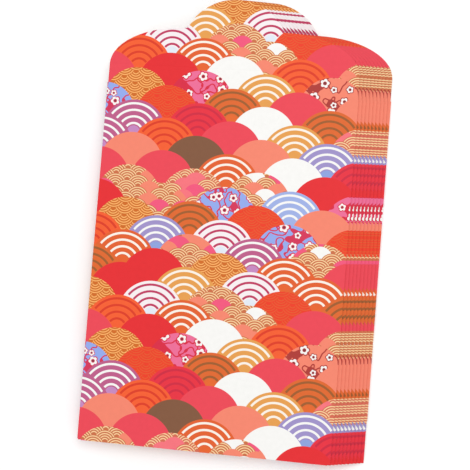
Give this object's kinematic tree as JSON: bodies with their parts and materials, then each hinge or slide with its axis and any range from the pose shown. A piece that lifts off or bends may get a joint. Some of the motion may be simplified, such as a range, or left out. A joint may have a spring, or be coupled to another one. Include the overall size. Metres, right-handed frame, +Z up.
{
  "type": "fanned set of red envelopes",
  "caption": "Fanned set of red paper gift envelopes lying flat, printed with wave scales, each a glued pocket with a three-lobed flap on a crease.",
  "frame": {"origin": "middle of the set's footprint, on the surface that it lies on", "axes": "+X along the flap creases, the way the fan steps down; +Y from the bottom folds towards the flaps; +Z up, out of the printed faces"},
  "size_m": [0.09, 0.1432, 0.0058],
  "materials": {
    "printed_paper": "satin",
    "dried_glue": "satin"
  },
  "bodies": {
    "envelope_01": {"front_panel_01": "printed_paper", "back_panel_01": "printed_paper", "side_tab_01": "printed_paper", "bottom_tab_01": "printed_paper", "seam_glue_01": "dried_glue"},
    "flap_01": {"flap_01": "printed_paper"},
    "envelope_02": {"front_panel_02": "printed_paper", "back_panel_02": "printed_paper", "side_tab_02": "printed_paper", "bottom_tab_02": "printed_paper", "seam_glue_02": "dried_glue"},
    "flap_02": {"flap_02": "printed_paper"},
    "envelope_03": {"front_panel_03": "printed_paper", "back_panel_03": "printed_paper", "side_tab_03": "printed_paper", "bottom_tab_03": "printed_paper", "seam_glue_03": "dried_glue"},
    "flap_03": {"flap_03": "printed_paper"},
    "envelope_04": {"front_panel_04": "printed_paper", "back_panel_04": "printed_paper", "side_tab_04": "printed_paper", "bottom_tab_04": "printed_paper", "seam_glue_04": "dried_glue"},
    "flap_04": {"flap_04": "printed_paper"},
    "envelope_05": {"front_panel_05": "printed_paper", "back_panel_05": "printed_paper", "side_tab_05": "printed_paper", "bottom_tab_05": "printed_paper", "seam_glue_05": "dried_glue"},
    "flap_05": {"flap_05": "printed_paper"},
    "envelope_06": {"front_panel_06": "printed_paper", "back_panel_06": "printed_paper", "side_tab_06": "printed_paper", "bottom_tab_06": "printed_paper", "seam_glue_06": "dried_glue"},
    "flap_06": {"flap_06": "printed_paper"},
    "envelope_07": {"front_panel_07": "printed_paper", "back_panel_07": "printed_paper", "side_tab_07": "printed_paper", "bottom_tab_07": "printed_paper", "seam_glue_07": "dried_glue"},
    "flap_07": {"flap_07": "printed_paper"},
    "envelope_08": {"front_panel_08": "printed_paper", "back_panel_08": "printed_paper", "side_tab_08": "printed_paper", "bottom_tab_08": "printed_paper", "seam_glue_08": "dried_glue"},
    "flap_08": {"flap_08": "printed_paper"},
    "envelope_09": {"front_panel_09": "printed_paper", "back_panel_09": "printed_paper", "side_tab_09": "printed_paper", "bottom_tab_09": "printed_paper", "seam_glue_09": "dried_glue"},
    "flap_09": {"flap_09": "printed_paper"},
    "envelope_10": {"front_panel_10": "printed_paper", "back_panel_10": "printed_paper", "side_tab_10": "printed_paper", "bottom_tab_10": "printed_paper", "seam_glue_10": "dried_glue"},
    "flap_10": {"flap_10": "printed_paper"}
  },
  "joints": [
    {"name": "lift_off_01", "type": "slide", "parent": "envelope_02", "child": "envelope_01", "axis": [0, 0, 1], "range_m": [0, 0.075]},
    {"name": "flap_fold_01", "type": "hinge", "parent": "envelope_01", "child": "flap_01", "pos_m": [-0.00504, 0.0484, 0.0056], "axis": [-1, 0, 0], "range_deg": [0, 174]},
    {"name": "lift_off_02", "type": "slide", "parent": "envelope_03", "child": "envelope_02", "axis": [0, 0, 1], "range_m": [0, 0.075]},
    {"name": "flap_fold_02", "type": "hinge", "parent": "envelope_02", "child": "flap_02", "pos_m": [-0.00392, 0.04849, 0.00502], "axis": [-1, 0, 0], "range_deg": [0, 174]},
    {"name": "lift_off_03", "type": "slide", "parent": "envelope_04", "child": "envelope_03", "axis": [0, 0, 1], "range_m": [0, 0.075]},
    {"name": "flap_fold_03", "type": "hinge", "parent": "envelope_03", "child": "flap_03", "pos_m": [-0.0028, 0.04858, 0.00444], "axis": [-1, 0, 0], "range_deg": [0, 174]},
    {"name": "lift_off_04", "type": "slide", "parent": "envelope_05", "child": "envelope_04", "axis": [0, 0, 1], "range_m": [0, 0.075]},
    {"name": "flap_fold_04", "type": "hinge", "parent": "envelope_04", "child": "flap_04", "pos_m": [-0.00168, 0.04866, 0.00386], "axis": [-1, 0, 0], "range_deg": [0, 174]},
    {"name": "lift_off_05", "type": "slide", "parent": "envelope_06", "child": "envelope_05", "axis": [0, 0, 1], "range_m": [0, 0.075]},
    {"name": "flap_fold_05", "type": "hinge", "parent": "envelope_05", "child": "flap_05", "pos_m": [-0.00056, 0.04875, 0.00328], "axis": [-1, 0, 0], "range_deg": [0, 174]},
    {"name": "lift_off_06", "type": "slide", "parent": "envelope_07", "child": "envelope_06", "axis": [0, 0, 1], "range_m": [0, 0.075]},
    {"name": "flap_fold_06", "type": "hinge", "parent": "envelope_06", "child": "flap_06", "pos_m": [0.00056, 0.04884, 0.0027], "axis": [-1, 0, 0], "range_deg": [0, 174]},
    {"name": "lift_off_07", "type": "slide", "parent": "envelope_08", "child": "envelope_07", "axis": [0, 0, 1], "range_m": [0, 0.075]},
    {"name": "flap_fold_07", "type": "hinge", "parent": "envelope_07", "child": "flap_07", "pos_m": [0.00168, 0.04893, 0.00212], "axis": [-1, 0, 0], "range_deg": [0, 174]},
    {"name": "lift_off_08", "type": "slide", "parent": "envelope_09", "child": "envelope_08", "axis": [0, 0, 1], "range_m": [0, 0.075]},
    {"name": "flap_fold_08", "type": "hinge", "parent": "envelope_08", "child": "flap_08", "pos_m": [0.0028, 0.04902, 0.00154], "axis": [-1, 0, 0], "range_deg": [0, 174]},
    {"name": "lift_off_09", "type": "slide", "parent": "envelope_10", "child": "envelope_09", "axis": [0, 0, 1], "range_m": [0, 0.075]},
    {"name": "flap_fold_09", "type": "hinge", "parent": "envelope_09", "child": "flap_09", "pos_m": [0.00392, 0.04911, 0.00096], "axis": [-1, 0, 0], "range_deg": [0, 174]},
    {"name": "flap_fold_10", "type": "hinge", "parent": "envelope_10", "child": "flap_10", "pos_m": [0.00504, 0.0492, 0.00038], "axis": [-1, 0, 0], "range_deg": [0, 174]}
  ],
  "couplings": [
    {"joint": "flap_fold_01", "follows": "lift_off_01", "rad_per_m": 40.49},
    {"joint": "flap_fold_02", "follows": "lift_off_02", "rad_per_m": 40.49},
    {"joint": "flap_fold_03", "follows": "lift_off_03", "rad_per_m": 40.49},
    {"joint": "flap_fold_04", "follows": "lift_off_04", "rad_per_m": 40.49},
    {"joint": "flap_fold_05", "follows": "lift_off_05", "rad_per_m": 40.49},
    {"joint": "flap_fold_06", "follows": "lift_off_06", "rad_per_m": 40.49},
    {"joint": "flap_fold_07", "follows": "lift_off_07", "rad_per_m": 40.49},
    {"joint": "flap_fold_08", "follows": "lift_off_08", "rad_per_m": 40.49},
    {"joint": "flap_fold_09", "follows": "lift_off_09", "rad_per_m": 40.49}
  ]
}
